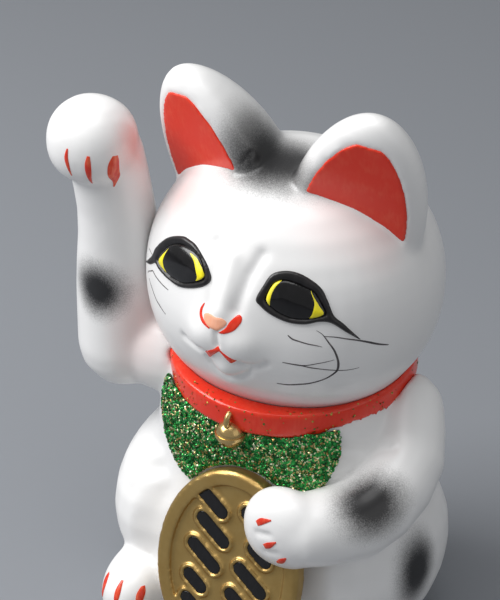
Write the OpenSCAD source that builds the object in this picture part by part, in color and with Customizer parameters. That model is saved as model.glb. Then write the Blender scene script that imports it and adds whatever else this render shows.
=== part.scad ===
// Beckoning cat figurine: slip-cast and glazed pieces luted together,
// with a coin slot in the back of the head and a rubber stopper underneath.
// The cat faces -Y, its raised right paw is at -X, and it sits on Z = 0.

/* [Overall] */
// Distance from the middle of the footprint to the cat's own plane of symmetry
axis_x = 7.3; // [0:0.1:20]
// Distance from the middle of the footprint back to the head's axis
axis_y = 1.8; // [-10:0.1:20]
// Wall thickness of the castings
wall = 4; // [2.5:0.5:6]
// How far painted enamel and relief stand out from the glaze
relief = 0.8; // [0.4:0.1:1.5]

/* [Head] */
// Head width across the cheeks
head_w = 94; // [80:1:110]
// Head depth from nose to nape, without the muzzle
head_d = 86; // [74:1:100]
// Head height from chin to crown
head_h = 85; // [74:1:98]
// Height of the head's centre above the base
head_z = 120; // [116:1:128]
// How far the muzzle stands out
muzzle_out = 3.6; // [1:0.2:7]
// Squareness of the head's outline, 2 is a true ellipse
head_round = 2.15; // [2:0.05:2.5]
// Coin slot length
slot_l = 34; // [26:1:40]
// Coin slot width
slot_w = 5; // [4:0.2:6]

/* [Ears] */
// Distance of an ear's tip from the middle
ear_x = 33.5; // [30:0.5:37]
// Height of an ear's tip above the head's centre
ear_z = 67.5; // [60:0.5:74]
// How far an ear's tip leans forward
ear_y = 15; // [8:1:20]
// Ear width at its root
ear_w = 43; // [36:1:50]
// Ear thickness at its root
ear_t = 31; // [26:1:36]
// Width of the white rim round the red lining
ear_rim = 5; // [3:0.5:8]
// Depth of the hollow in front of the lining
ear_recess = 3; // [1.5:0.5:5]

/* [Torso] */
// Torso width at the belly
belly_w = 90; // [80:1:100]
// Torso width at the shoulders
shoulder_w = 82; // [72:1:90]
// Reach of the chest in front of the head's axis
chest_y = 36; // [32:1:40]
// Reach of the back behind the head's axis
back_y = 41; // [36:1:46]
// Height where the torso meets the head
neck_z = 97; // [94:1:102]
// Sideways distance of a haunch's centre
haunch_x = 34; // [29:1:36]
// Distance of a haunch's centre in front of the head's axis
haunch_y = 4; // [0:0.5:10]
// Haunch width
haunch_w = 44; // [38:1:48]
// Haunch length, front to back
haunch_l = 68; // [56:1:74]
// Haunch height
haunch_h = 62; // [54:1:68]
// Height of the haunch's centre
haunch_z = 31; // [26:1:34]

/* [Base] */
// Radius of the base slab
slab_r = 33; // [28:1:36]
// Thickness of the base slab
slab_t = 5; // [4:0.5:8]
// Height of the foot ring that the slab is set into
foot_ring = 2; // [1:0.5:4]
// Radius of the round hole for the stopper
hole_r = 15; // [12:0.5:18]
// Radius of the stopper's outer flange
flange_r = 17.5; // [16:0.5:20]
// Thickness of the stopper's flange
flange_t = 1.5; // [1:0.25:2]
// Running clearance between stopper and hole
stopper_gap = 0.05; // [0.02:0.01:0.1]

/* [Raised arm] */
// Sideways distance of the forearm
forearm_x = 55; // [52:1:58]
// Forearm thickness
forearm_w = 27; // [22:1:30]
// Height of the elbow's centre
elbow_z = 84; // [80:1:88]
// Height of the raised paw's centre
paw_z = 160.5; // [156:0.5:166]
// Raised paw width
paw_w = 28.5; // [25:0.5:32]
// Raised paw height
paw_h = 28; // [25:0.5:32]

/* [Lowered arm] */
// Thickness of the lowered arm
arm_w = 26; // [22:1:29]
// Sideways distance of the lowered arm's elbow
arm_x = 43; // [40:1:46]
// Height of the paw on the coin
grip_z = 57; // [52:1:60]
// Height of that paw across its toes
grip_h = 27; // [24:1:31]

/* [Coin] */
// Width of the large oval coin
coin_w = 51; // [42:1:56]
// Length of the oval coin
coin_l = 66; // [56:1:72]
// Thickness of the oval coin at its rim
coin_t = 5.5; // [4:0.5:8]
// Lean of the coin against the belly
coin_tilt = 12; // [4:1:16]
// Sideways distance of the coin's centre
coin_x = 4.5; // [0:0.5:8]
// Width of the coin's raised rim
coin_rim = 5; // [3:0.5:7]
// Depth of the sunk face inside the rim
coin_sunk = 1.6; // [0.8:0.2:2.4]
// Width of a raised ridge on the coin's face
ridge_w = 2; // [1.2:0.2:3]

/* [Feet and tail] */
// Foot width
foot_w = 25; // [20:1:28]
// Foot height
foot_h = 22; // [16:1:26]
// Reach of the toes in front of the head's axis
toe_y = 53; // [46:1:56]
// Sideways distance of a foot
foot_x = 33; // [30:1:37]
// Tail thickness
tail_w = 17; // [12:1:20]

/* [Collar and bell] */
// Radius of the collar's outside
collar_r = 39.5; // [37:0.5:43]
// Height of the collar band
collar_h = 9; // [6:0.5:12]
// Height of the collar's middle above the base
collar_z = 90; // [87:0.5:93]
// Forward tilt of the collar
collar_tilt = 6; // [0:1:10]
// Radius of the bell
bell_r = 4.6; // [3.5:0.1:6]
// Thickness of the bib
bib_t = 1.6; // [1:0.2:2.4]
// Height of the bib's lowest point
bib_z = 55; // [50:1:60]
// Half the angle that the bib spans round the neck
bib_half = 52; // [44:1:60]

/* [Hidden] */
$fn = 48;

white = "#f1efee";
red = "#e2412c";
black = "#232325";
green = "#2a6b33";
gold = "#b4975f";
bright_gold = "#d6b878";
peach = "#f7b394";
grey_rubber = "#3c3b3a";

head_a = head_w / 2;
head_b = head_d / 2;
head_c = head_h / 2;
slab_top = foot_ring + slab_t;
around = 48;

// ---- shared mathematics ----
function unit(v) = v / norm(v);
function mix(a, b, t) = a + (b - a) * t;
function mirrored(v) = [-v.x, v.y, v.z];
function smooth_max(a, b, w) = max(a, b) + pow(max(w - abs(a - b), 0), 2) / (4 * w);
function bump(d, at, wide) = exp(-pow(norm(d - at) / wide, 2));
function compass(az, el) = [sin(az) * cos(el), -cos(az) * cos(el), sin(el)];
function super(x, y, p) = 1 / pow(pow(abs(x), p) + pow(abs(y), p), 1 / p);

// smooth curve through a short list of [position, value]
function knot(k, i) = k[max(0, min(len(k) - 1, i))];
function slope(k, i) =
  let(a = knot(k, i - 1), b = knot(k, i + 1)) (b[1] - a[1]) / (b[0] - a[0]);
function segment(k, x) =
  let(hit = [for (i = [0:len(k) - 2]) if (x >= k[i][0]) i]) len(hit) ? hit[len(hit) - 1] : 0;
function curve(k, x) =
  let(i = segment(k, x), a = k[i], b = k[i + 1], h = b[0] - a[0])
  let(t = max(0, min(1, (x - a[0]) / h)), t2 = t * t, t3 = t2 * t)
  a[1] * (2 * t3 - 3 * t2 + 1) + b[1] * (3 * t2 - 2 * t3)
    + h * slope(k, i) * (t3 - 2 * t2 + t) + h * slope(k, i + 1) * (t3 - t2);

// ---- lofts: rings run anticlockwise seen from the end that they climb towards ----
function middle(ring) = [for (k = [0:2]) [for (p = ring) p[k]] * [for (p = ring) 1 / len(ring)]];
function side_faces(n, m) = [for (j = [0:m - 2], i = [0:n - 1]) each [
  [j * n + i, (j + 1) * n + (i + 1) % n, j * n + (i + 1) % n],
  [j * n + i, (j + 1) * n + i, (j + 1) * n + (i + 1) % n]]];
function fan(hub, first, n, up) = [for (i = [0:n - 1]) let(a = first + i, b = first + (i + 1) % n)
  up ? [hub, b, a] : [hub, a, b]];

// a skin over the rings, closed by a fan at each end
module loft(rings, low = undef, high = undef) {
  n = len(rings[0]);
  m = len(rings);
  hubs = [is_undef(low) ? middle(rings[0]) : low, is_undef(high) ? middle(rings[m - 1]) : high];
  polyhedron(concat([for (r = rings) each r], hubs),
    concat(side_faces(n, m), fan(n * m, 0, n, false), fan(n * m + 1, (m - 1) * n, n, true)), convexity = 6);
}

// a curved plate between an outer and an inner grid of rows that climb from the lowest edge
module plate(outer, inner) {
  c = len(outer[0]);
  m = len(outer);
  n = 2 * c;
  rings = [for (j = [0:m - 1]) concat(outer[j], [for (i = [c - 1:-1:0]) inner[j][i]])];
  caps = [for (i = [0:c - 2]) let(t = (m - 1) * n) each [
    [i, i + 1, n - 2 - i], [i, n - 2 - i, n - 1 - i],
    [t + i + 1, t + i, t + n - 1 - i], [t + i + 1, t + n - 1 - i, t + n - 2 - i]]];
  polyhedron([for (r = rings) each r], concat(side_faces(n, m), caps), convexity = 6);
}

// rings of an ellipse carried along a path: stations are [centre, half width, half depth]
function tangent(s, i) = unit(s[min(i + 1, len(s) - 1)][0] - s[max(i - 1, 0)][0]);
function tube_rings(s, side, n) = [for (i = [0:len(s) - 1])
  let(t = tangent(s, i), v = unit(cross(t, side)), u = cross(v, t))
  [for (k = [0:n - 1]) let(a = 360 * k / n) s[i][0] + u * s[i][1] * cos(a) + v * s[i][2] * sin(a)]];

// stations of a rounded tube through a few named points, with round ends
function tube_path(pts, size, steps) =
  let(last = len(pts) - 1, px = [for (i = [0:last]) [i, pts[i].x]], py = [for (i = [0:last]) [i, pts[i].y]])
  let(pz = [for (i = [0:last]) [i, pts[i].z]], pr = [for (i = [0:last]) [i, size[i]]])
  [for (j = [0:steps]) let(t = last * j / steps) [[curve(px, t), curve(py, t), curve(pz, t)], curve(pr, t)]];
function round_tube(pts, size, flat, steps) =
  let(p = tube_path(pts, size, steps), e = len(p) - 1)
  let(t0 = unit(p[1][0] - p[0][0]), t1 = unit(p[e][0] - p[e - 1][0]))
  concat(
    [for (a = [80, 50, 22]) [p[0][0] - t0 * p[0][1] * sin(a), p[0][1] * cos(a), p[0][1] * cos(a) * flat]],
    [for (q = p) [q[0], q[1], q[1] * flat]],
    [for (a = [22, 50, 80]) [p[e][0] + t1 * p[e][1] * sin(a), p[e][1] * cos(a), p[e][1] * cos(a) * flat]]);

// an egg-shaped lump about a point, from a chosen lowest latitude up
function egg_rings(at, size, low = -78, p = 2.2, n = 24, m = 9) = [for (j = [0:m])
  let(el = mix(low, 78, j / m), z = sign(el) * pow(abs(sin(el)), 2 / p), w = pow(cos(el), 2 / p))
  [for (i = [0:n - 1]) let(a = 360 * i / n, r = super(cos(a), sin(a), p) * w)
    at + [size.x * r * cos(a), size.y * r * sin(a), size.z * z]]];
module egg(at, size, low = -78, p = 2.2) {
  loft(egg_rings(at, size, low, p), low > -70 ? undef : at - [0, 0, size.z], at + [0, 0, size.z]);
}

// ---- head ----
muzzle_dir = unit([0, -1, -0.02]);
chin_dir = unit([0, -0.9, -0.40]);
bridge_dir = unit([0, -0.95, 0.24]);
pad_dir = unit([0.15, -0.97, -0.10]);
socket_dir = unit([0.47, -0.84, 0.22]);
function head_r(d) =
  1 / pow(pow(abs(d.x) / head_a, head_round) + pow(abs(d.y) / head_b, head_round)
    + pow(abs(d.z) / head_c, head_round), 1 / head_round)
  + muzzle_out * 0.75 * bump(d, muzzle_dir, 0.27)
  + muzzle_out * 0.35 * (bump(d, pad_dir, 0.15) + bump(d, mirrored(pad_dir), 0.15))
  + muzzle_out * 0.35 * bump(d, chin_dir, 0.13)
  + muzzle_out * 0.30 * bump(d, bridge_dir, 0.16)
  - muzzle_out * 0.30 * (bump(d, socket_dir, 0.24) + bump(d, mirrored(socket_dir), 0.24));
function head_point(d, out = 0) = [0, 0, head_z] + unit(d) * (head_r(unit(d)) + out);
head_levels = [-80, -66, -54, -43, -34, -27, -20, -14, -8, -2, 4, 10, 16, 22, 30, 39, 49, 60, 71, 82];
function head_rings(out) = [for (el = head_levels)
  [for (i = [0:around - 1]) let(t = 360 * i / around) head_point(compass(t - 13 * sin(t), el), out)]];
function head_hollow_rings() = [for (el = [-80:20:80])
  [for (i = [0:23]) let(d = compass(360 * i / 24, el))
    [0, 0, head_z] + [d.x * (head_a - wall - 0.4), d.y * (head_b - wall - 0.4), d.z * (head_c - wall - 0.4)]]];

module head_form() {
  loft(head_rings(0));
}

neck_r = 23;
module neck_bore() {
  translate([0, 0, neck_z - 24]) cylinder(h = 30, r = neck_r);
}

module head_casting() {
  color(white) difference() {
    head_form();
    loft(head_hollow_rings());
    neck_bore();
    translate([-slot_l / 2, head_b - 4 * wall, head_z + 8]) cube([slot_l, 6 * wall, slot_w]);
  }
}

// ---- ears, drawn for the cat's left side and mirrored ----
ear_root = [ear_x - 10, -ear_y + 9, ear_z - 38];
ear_tip = [ear_x, -ear_y, ear_z];
ear_axis = unit(ear_tip - ear_root);
ear_front = unit([0.24, -0.92, -0.29]);
ear_side = unit(cross(ear_axis, ear_front));
ear_face = unit(cross(ear_side, ear_axis));
function ear_width(t) = ear_w / 2 * pow(max(1 - pow(t, 1.9), 0), 0.55);
function ear_front_depth(t) = ear_t * 0.27 * pow(max(1 - pow(t, 3), 0), 0.5);
function ear_back_depth(t) = ear_t * 0.73 * pow(max(1 - pow(t, 1.5), 0), 0.62);
function ear_rings() = [for (t = [-0.3, 0.05, 0.2, 0.35, 0.5, 0.62, 0.73, 0.83, 0.91, 0.965, 0.992])
  let(tt = max(t, 0), w = ear_width(tt))
  let(c = [0, 0, head_z] + ear_root + ear_axis * (norm(ear_tip - ear_root) * t))
  [for (k = [0:27]) let(a = 360 * k / 28, r = super(cos(a), sin(a), 2.15))
    let(d = sin(a) > 0 ? ear_front_depth(tt) : ear_back_depth(tt), narrow = sin(a) > 0 ? 1 : 1 + 0.12 * sin(a))
    c + ear_side * (w * r * cos(a) * narrow) + ear_face * (d * r * sin(a))]];
module ear_form() {
  loft(ear_rings());
}

// the lining's outline in the plane of the ear's face: x across, y along the ear
module ear_outline(in) {
  h = norm(ear_tip - ear_root);
  offset(r = 3) offset(r = -3 - in) polygon(concat(
    [for (t = [-0.25:0.1:0.95]) [ear_width(max(t, 0)), h * t]],
    [for (t = [0.95:-0.1:-0.25]) [-ear_width(max(t, 0)), h * t]]));
}
module on_ear(depth) {
  multmatrix([
    [ear_side.x, ear_axis.x, ear_face.x, ear_root.x],
    [ear_side.y, ear_axis.y, ear_face.y, ear_root.y],
    [ear_side.z, ear_axis.z, ear_face.z, ear_root.z + head_z],
    [0, 0, 0, 1]])
    translate([0, 0, depth]) children();
}
ear_floor = ear_t * 0.27 - ear_recess - relief;
module on_side(s) {
  mirror([s < 0 ? 1 : 0, 0, 0]) children();
}
module ear(s) {
  color(white) difference() {
    on_side(s) ear_form();
    head_form();
    on_side(s) on_ear(ear_floor) linear_extrude(20) ear_outline(ear_rim);
  }
}
module ear_lining(s) {
  color(red) difference() {
    on_side(s) intersection() {
      on_ear(ear_floor) linear_extrude(relief) ear_outline(ear_rim);
      ear_form();
    }
    head_form();
  }
}
module left_ear() {
  ear(1);
}
module right_ear() {
  ear(-1);
}
module left_ear_lining() {
  ear_lining(1);
}
module right_ear_lining() {
  ear_lining(-1);
}

// ---- torso ----
belly_curve = [[0, belly_w / 2 - 3], [12, belly_w / 2], [40, belly_w / 2 - 1], [62, shoulder_w / 2 + 2.5],
  [78, shoulder_w / 2 + 0.5], [86, shoulder_w / 2 - 2], [92, shoulder_w / 2 - 6], [neck_z, shoulder_w / 2 - 11]];
chest_curve = [[0, chest_y + 7], [14, chest_y + 9], [38, chest_y + 5], [58, chest_y], [78, chest_y - 1],
  [88, chest_y - 3], [neck_z, chest_y - 9]];
back_curve = [[0, back_y - 3], [12, back_y], [40, back_y], [62, back_y - 1], [78, back_y - 3], [86, back_y - 6],
  [neck_z, back_y - 14]];
function haunch_r(az, z) =
  let(s2 = 1 - pow((z - haunch_z) / (haunch_h / 2), 2))
  s2 <= 0 ? 0 :
  let(d = [abs(sin(az)), -cos(az)], a = haunch_w / 2 * sqrt(s2), b = haunch_l / 2 * sqrt(s2))
  let(c = [haunch_x / a, -haunch_y / b], e = [d.x / a, d.y / b])
  let(ee = e * e, ec = e * c, disc = ec * ec - ee * (c * c - 1))
  disc <= 0 ? 0 : (ec + sqrt(disc)) / ee;
function torso_r(az, z) =
  let(core = super(sin(az) / curve(belly_curve, z),
    cos(az) / curve(cos(az) > 0 ? chest_curve : back_curve, z), 2.25))
  smooth_max(core, haunch_r(az, z), 6);
torso_levels = [0, 3, 8, 15, 23, 31, 39, 46, 52, 57, 62, 67, 73, 79, 85, 91];
function torso_rings(out) = [for (z = concat(torso_levels, [neck_z]))
  [for (i = [0:around - 1]) let(az = 360 * i / around, r = torso_r(az, z) + out - (z == 0 ? 2 : 0))
    [sin(az) * r, -cos(az) * r, z]]];
function torso_hollow_rings() = [for (z = [slab_top, 14, 30, 46, 60, 74, neck_z + 1])
  [for (i = [0:23]) let(az = 360 * i / 24, zz = min(z, neck_z))
    let(core = super(sin(az) / curve(belly_curve, zz),
      cos(az) / curve(cos(az) > 0 ? chest_curve : back_curve, zz), 2.1))
    let(r = max(neck_r, core - wall - 0.6))
    [sin(az) * r, -cos(az) * r, z]]];
module torso_form() {
  loft(torso_rings(0));
}
module torso_casting() {
  color(white) difference() {
    torso_form();
    head_form();
    coin_block(20);
    loft(torso_hollow_rings());
    translate([0, 0, -1]) cylinder(h = slab_top + 2, r = slab_r);
  }
}

// ---- base slab and stopper ----
module base_slab() {
  color(white) difference() {
    translate([0, 0, foot_ring]) cylinder(h = slab_t, r = slab_r);
    cylinder(h = slab_top + 1, r = hole_r);
  }
}
module rubber_stopper() {
  color(grey_rubber) difference() {
    union() {
      translate([0, 0, foot_ring - flange_t]) cylinder(h = flange_t, r = flange_r);
      translate([0, 0, foot_ring]) cylinder(h = slab_t, r = hole_r - stopper_gap);
      translate([0, 0, slab_top]) cylinder(h = 3, r1 = hole_r - stopper_gap, r2 = hole_r - 2);
    }
    translate([0, 0, foot_ring + 1]) cylinder(h = slab_t + 3, r = hole_r - 4);
  }
}

// ---- collar, bell loop, bell and bib ----
module collar_form() {
  translate([0, 1, collar_z]) rotate([collar_tilt, 0, 0])
    rotate_extrude() translate([collar_r - 10, -collar_h / 2]) union() {
      square([9, collar_h]);
      translate([0, 1]) square([10, collar_h - 2]);
      translate([9, 1]) circle(1);
      translate([9, collar_h - 1]) circle(1);
    }
}
// the whole disc inside the collar's outline, which its neighbours are cut back to
module collar_disc() {
  translate([0, 1, collar_z]) rotate([collar_tilt, 0, 0]) cylinder(h = collar_h, r = collar_r, center = true);
}
module collar() {
  color(red) difference() {
    collar_form();
    head_form();
    torso_form();
  }
}

bell_y = -collar_r + 1;
bell_z = collar_z - collar_h / 2 - bell_r - 1;
module on_bell() {
  translate([0, bell_y + 1, bell_z]) children();
}
module bell_loop() {
  color(gold) difference() {
    on_bell() translate([0, 0, bell_r + 0.6]) rotate([0, 90, 0])
      rotate_extrude() translate([2.6, 0]) circle(1, $fn = 16);
    on_bell() sphere(bell_r);
    collar_disc();
    bib_form();
  }
}
module bell() {
  color(bright_gold) difference() {
    on_bell() union() {
      sphere(bell_r);
      cylinder(h = 1, r = bell_r + 0.4, center = true);
    }
    on_bell() translate([-0.5, -bell_r - 1, -bell_r - 1]) cube([1, bell_r, bell_r * 0.9]);
    bib_form();
    torso_form();
    collar_disc();
  }
}
function bib_top(az) = collar_z - collar_h / 2 + 2 - sin(collar_tilt) * collar_r * cos(az);
function bib_low(s) = let(t = bib_top(s * bib_half))
  t - (t - bib_z) * sqrt(1 - 0.96 * pow(abs(s), 3));
function bib_rows(out) = [for (j = [0:7]) [for (i = [0:22])
  let(s = sin(90 * (i - 11) / 11), az = s * bib_half, z = mix(bib_low(s), bib_top(az), j / 7))
  let(r = torso_r(az, z) + out) [sin(az) * r, -cos(az) * r, z]]];
module bib_form() {
  plate(bib_rows(bib_t), bib_rows(-2));
}
module bib() {
  color(green) difference() {
    bib_form();
    torso_form();
    collar_disc();
    translate([0, coin_t, 0]) coin_block(2 * coin_t);
    lowered_arm_form();
  }
}

// ---- oval coin ----
coin_back = chest_y - 0.5;
coin_mid_z = coin_l / 2 * cos(coin_tilt) + coin_t * sin(coin_tilt) + 1;
coin_mid_y = coin_back + (62 - coin_mid_z) * tan(coin_tilt);
module on_coin() {
  translate([coin_x, -coin_mid_y, coin_mid_z]) rotate([90 - coin_tilt, 0, 0]) children();
}
module oval(in) {
  scale([coin_w / 2 - in, coin_l / 2 - in]) circle(1, $fn = 64);
}
module bar(l, w) {
  square([l - w, w], center = true);
  for (s = [-1, 1]) translate([s * (l - w) / 2, 0]) circle(w / 2, $fn = 20);
}
module coin_bands(grow) {
  for (row = [-2:2], s = [-1, 1])
    translate([s * coin_w * 0.17 + (row % 2) * 2, row * coin_l * 0.145 - s * 1.5]) rotate(-34)
      bar(coin_w * (s * (row % 2) > 0 ? 0.2 : 0.29) + 2 * grow, coin_l * 0.075 + 2 * grow);
}
module coin_block(h) {
  on_coin() linear_extrude(h) oval(0);
}
module koban() {
  floor_z = coin_t - coin_sunk;
  color(gold) on_coin() {
    linear_extrude(floor_z) oval(0);
    translate([0, 0, floor_z]) linear_extrude(coin_sunk - 0.8) difference() {
      oval(0);
      oval(coin_rim);
    }
    translate([0, 0, coin_t - 0.8]) linear_extrude(0.8) difference() {
      oval(0.8);
      oval(coin_rim);
    }
    translate([0, 0, floor_z]) linear_extrude(coin_sunk - 0.4) difference() {
      intersection() {
        coin_bands(ridge_w / 2);
        oval(coin_rim);
      }
      coin_bands(0);
    }
  }
}
module koban_enamel() {
  color(black) on_coin() translate([0, 0, coin_t - coin_sunk]) linear_extrude(coin_sunk - 0.9) intersection() {
    coin_bands(0);
    oval(coin_rim);
  }
}

// ---- raised arm ----
paw_at = [-forearm_x - 3.5, -26, paw_z];
paw_size = [paw_w / 2, paw_w * 0.48, paw_h / 2];
module raised_arm_form() {
  a = forearm_x;
  r = forearm_w / 2;
  loft(tube_rings(round_tube([[-a, -13, elbow_z], [-a - 1, -14, elbow_z + 24],
    [-a - 0.5, -17, paw_z - 28], [-a - 2, -21, paw_z - 6]], [r + 2, r + 1, r - 1, r - 1.5], 1, 7), [0, 1, 0], 20));
  egg([-a + 15, -8, elbow_z + 1], [24, 17, r + 2]);
}
module raised_arm() {
  color(white) difference() {
    union() {
      raised_arm_form();
      egg(paw_at, paw_size);
    }
    head_form();
    torso_form();
    collar_disc();
  }
}
module raised_paw_claws() {
  color(red) difference() {
    intersection() {
      egg(paw_at, paw_size + [relief, relief, relief]);
      for (k = [-1:1]) translate(paw_at + [k * paw_w * 0.27, -paw_size.y, -paw_h * 0.28]) rotate([0, k * 8, 0])
        rotate([90, 0, 0]) linear_extrude(24, center = true) rotate(90) bar(paw_h * 0.31, 2.4);
    }
    egg(paw_at, paw_size);
    raised_arm_form();
  }
}

// ---- lowered arm ----
grip_at = [coin_x + coin_w * 0.38, -coin_mid_y - coin_t - 1.5 + (grip_z - coin_mid_z) * tan(coin_tilt), grip_z];
grip_size = [14, 9, grip_h / 2];
module lowered_arm_form() {
  r = arm_w / 2;
  loft(tube_rings(round_tube([[arm_x - 5, 5, grip_z + 22], [arm_x + 2, -8, grip_z + 10],
    [arm_x - 1, -26, grip_z + 1], [arm_x - 12, -40, grip_z]], [r, r, r - 0.5, r - 1], 1, 7), [0, 0, 1], 20));
  egg(grip_at, grip_size);
}
module lowered_arm() {
  color(white) difference() {
    lowered_arm_form();
    torso_form();
    coin_block(coin_t);
    collar_disc();
  }
}
module lowered_paw_claws() {
  color(red) difference() {
    intersection() {
      egg(grip_at, grip_size + [relief, relief, relief]);
      for (k = [-1:1]) translate(grip_at + [-grip_size.x * 0.62, -10, k * grip_h * 0.27 - 2]) rotate([90, 0, 0])
        linear_extrude(20, center = true) rotate(-k * 12) bar(grip_size.x * 0.55, 2.2);
    }
    lowered_arm_form();
    coin_block(coin_t);
  }
}

// ---- feet and tail ----
foot_at = [foot_x, -toe_y + 21, foot_h * 0.42];
foot_size = [foot_w / 2, 21, foot_h * 0.58];
module foot_form(s) {
  egg([s * foot_at.x, foot_at.y, foot_at.z], foot_size, -asin(min(1, pow(0.42 / 0.58, 1.1))));
}
module foot(s) {
  color(white) difference() {
    foot_form(s);
    torso_form();
    coin_block(coin_t);
    translate([-100, -100, -20]) cube([200, 200, 20]);
  }
}
module right_foot() {
  foot(-1);
}
module left_foot() {
  foot(1);
}
module foot_claws(s) {
  color(red) difference() {
    intersection() {
      egg([s * foot_at.x, foot_at.y, foot_at.z], foot_size + [relief, relief, relief]);
      for (k = [-1:1]) translate([s * foot_x + k * foot_w * 0.27, -toe_y, foot_h * 0.55]) rotate([0, 0, k * 12])
        rotate([90, 0, 0]) linear_extrude(20, center = true) rotate(90) bar(foot_h * 0.34, 2.2);
    }
    foot_form(s);
  }
}
module right_foot_claws() {
  foot_claws(-1);
}
module left_foot_claws() {
  foot_claws(1);
}
module tail() {
  r = tail_w / 2;
  color(white) difference() {
    loft(tube_rings(round_tube([[-4, back_y, r + 4], [11, back_y, r + 1.5], [27, back_y - 9, r + 4],
      [37, back_y - 23, r + 13]], [r, r, r - 0.5, r - 1.5], 1, 7), [0, 0, 1], 16));
    torso_form();
    translate([-100, -100, -20]) cube([200, 200, 20]);
  }
}

// ---- painted relief on the face ----
eye_at = [19.3, -37.4, 13.4];
eye_out = unit([22.1, 5.3, -3.2]);
function face_frame(at, out) = let(c = unit(at), x = unit(out - c * (out * c))) [x, cross(c, x)];
function button_ring(at, f, s, shape, out) = [for (i = [0:31]) let(a = 360 * i / 32)
  let(q = shape == 0
    ? [11.6 * super(cos(a), sin(a), 1.7) * cos(a), 7.8 * super(cos(a), sin(a), 1.7) * sin(a)]
    : [5.6 * cos(a) * (1 + 0.35 * sin(a)), 3.4 * sin(a)])
  head_point(at + (f[0] * q.x + f[1] * q.y) * s, out)];
module button(at, out, shape, high) {
  f = face_frame(at, out);
  loft(concat([button_ring(at, f, 1, shape, -1.5)],
    [for (s = [1, 0.9, 0.68, 0.36]) button_ring(at, f, s, shape, 0.3 + high * (1 - s * s))]),
    head_point(at, -1.5), head_point(at, 0.3 + high));
}
module eye(s) {
  color(black) difference() {
    on_side(s) button(eye_at, eye_out, 0, relief * 1.6);
    head_form();
  }
}
module left_eye() {
  eye(1);
}
module right_eye() {
  eye(-1);
}
module nose() {
  color(peach) difference() {
    button([0, -46, 6.4], [1, 0, 0], 1, relief);
    head_form();
  }
}
module mouth() {
  pts = [for (q = [[-5, -5.5], [-2.8, -2.4], [0, -0.6], [2.8, -2.4], [5, -5.5]]) head_point([q.x, -46, q.y], 0.1)];
  color(red) difference() {
    loft(tube_rings(round_tube(pts, [0.6, 0.95, 1.1, 0.95, 0.6], 1, 10), [0, 1, 0], 10));
    head_form();
  }
}

module placed() {
  translate([axis_x, axis_y, 0]) children();
}

placed() torso_casting();
placed() base_slab();
placed() rubber_stopper();
placed() head_casting();
placed() right_ear();
placed() left_ear();
placed() right_ear_lining();
placed() left_ear_lining();
placed() raised_arm();
placed() lowered_arm();
placed() right_foot();
placed() left_foot();
placed() tail();
placed() collar();
placed() bib();
placed() bell_loop();
placed() bell();
placed() koban();
placed() koban_enamel();
placed() right_eye();
placed() left_eye();
placed() nose();
placed() mouth();
placed() raised_paw_claws();
placed() lowered_paw_claws();
placed() right_foot_claws();
placed() left_foot_claws();
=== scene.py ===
import math
import random

import bmesh
import bpy
import numpy as np
from mathutils import Matrix, Vector
from mathutils.bvhtree import BVHTree
from mathutils.geometry import delaunay_2d_cdt


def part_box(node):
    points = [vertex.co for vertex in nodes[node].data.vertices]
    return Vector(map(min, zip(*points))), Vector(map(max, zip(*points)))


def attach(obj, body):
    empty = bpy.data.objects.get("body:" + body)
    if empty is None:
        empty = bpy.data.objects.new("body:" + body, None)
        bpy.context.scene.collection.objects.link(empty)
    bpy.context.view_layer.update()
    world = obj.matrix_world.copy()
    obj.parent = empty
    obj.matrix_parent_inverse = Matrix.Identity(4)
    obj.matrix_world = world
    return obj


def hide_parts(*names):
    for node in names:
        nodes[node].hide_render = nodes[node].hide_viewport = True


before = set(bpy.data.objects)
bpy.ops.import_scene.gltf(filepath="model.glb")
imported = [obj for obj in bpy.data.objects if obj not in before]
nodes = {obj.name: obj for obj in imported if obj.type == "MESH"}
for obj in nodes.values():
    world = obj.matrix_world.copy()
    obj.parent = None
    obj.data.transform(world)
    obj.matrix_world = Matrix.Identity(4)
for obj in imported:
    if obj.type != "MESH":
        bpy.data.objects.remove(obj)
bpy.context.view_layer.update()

mm = 0.001
random.seed(7)

# where the cat stands: the middle of its round base, and the middle of its head
slabLow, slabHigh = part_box("base_slab")
headHalfHeight = 42.5
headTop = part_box("head_casting")[1][2]
foot = Vector(((slabLow[0] + slabHigh[0]) / 2, (slabLow[1] + slabHigh[1]) / 2, 0))
head = Vector((foot.x, foot.y, headTop - headHalfHeight * mm))


# camera
cameraSetup = {
    "azimuth": 30.2,        # degrees round from the cat's front towards its left side
    "elevation": 30.0,
    "roll": 1.5,
    "distance": 800,        # mm
    "lens": 184.3,          # mm on a 36 mm wide frame
    "aimRight": -14.2,      # what lies in the middle of the view, from the head's middle
    "aimUp": -9.0,
}


def makeCamera(s):
    a, e, r = (math.radians(s[k]) for k in ("azimuth", "elevation", "roll"))
    back = Vector((math.sin(a) * math.cos(e), -math.cos(a) * math.cos(e), math.sin(e)))
    right = Vector((math.cos(a), math.sin(a), 0))
    up = back.cross(right)
    right, up = right * math.cos(r) + up * math.sin(r), up * math.cos(r) - right * math.sin(r)
    eye = head + (right * s["aimRight"] + up * s["aimUp"] + back * s["distance"]) * mm
    data = bpy.data.cameras.new("camera")
    data.lens = s["lens"]
    data.sensor_width = 36
    data.sensor_fit = "HORIZONTAL"
    data.clip_start = 0.05
    data.clip_end = 20
    camera = bpy.data.objects.new("camera", data)
    bpy.context.scene.collection.objects.link(camera)
    camera.matrix_world = Matrix(((right.x, up.x, back.x, eye.x), (right.y, up.y, back.y, eye.y),
                                  (right.z, up.z, back.z, eye.z), (0, 0, 0, 1)))
    bpy.context.scene.camera = camera


makeCamera(cameraSetup)
print("camera placed")


# small helpers
def hexColour(text):
    parts = [int(text[i:i + 2], 16) / 255 for i in (1, 3, 5)]
    return tuple(c / 12.92 if c <= 0.04045 else ((c + 0.055) / 1.055) ** 2.4 for c in parts) + (1,)


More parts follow.
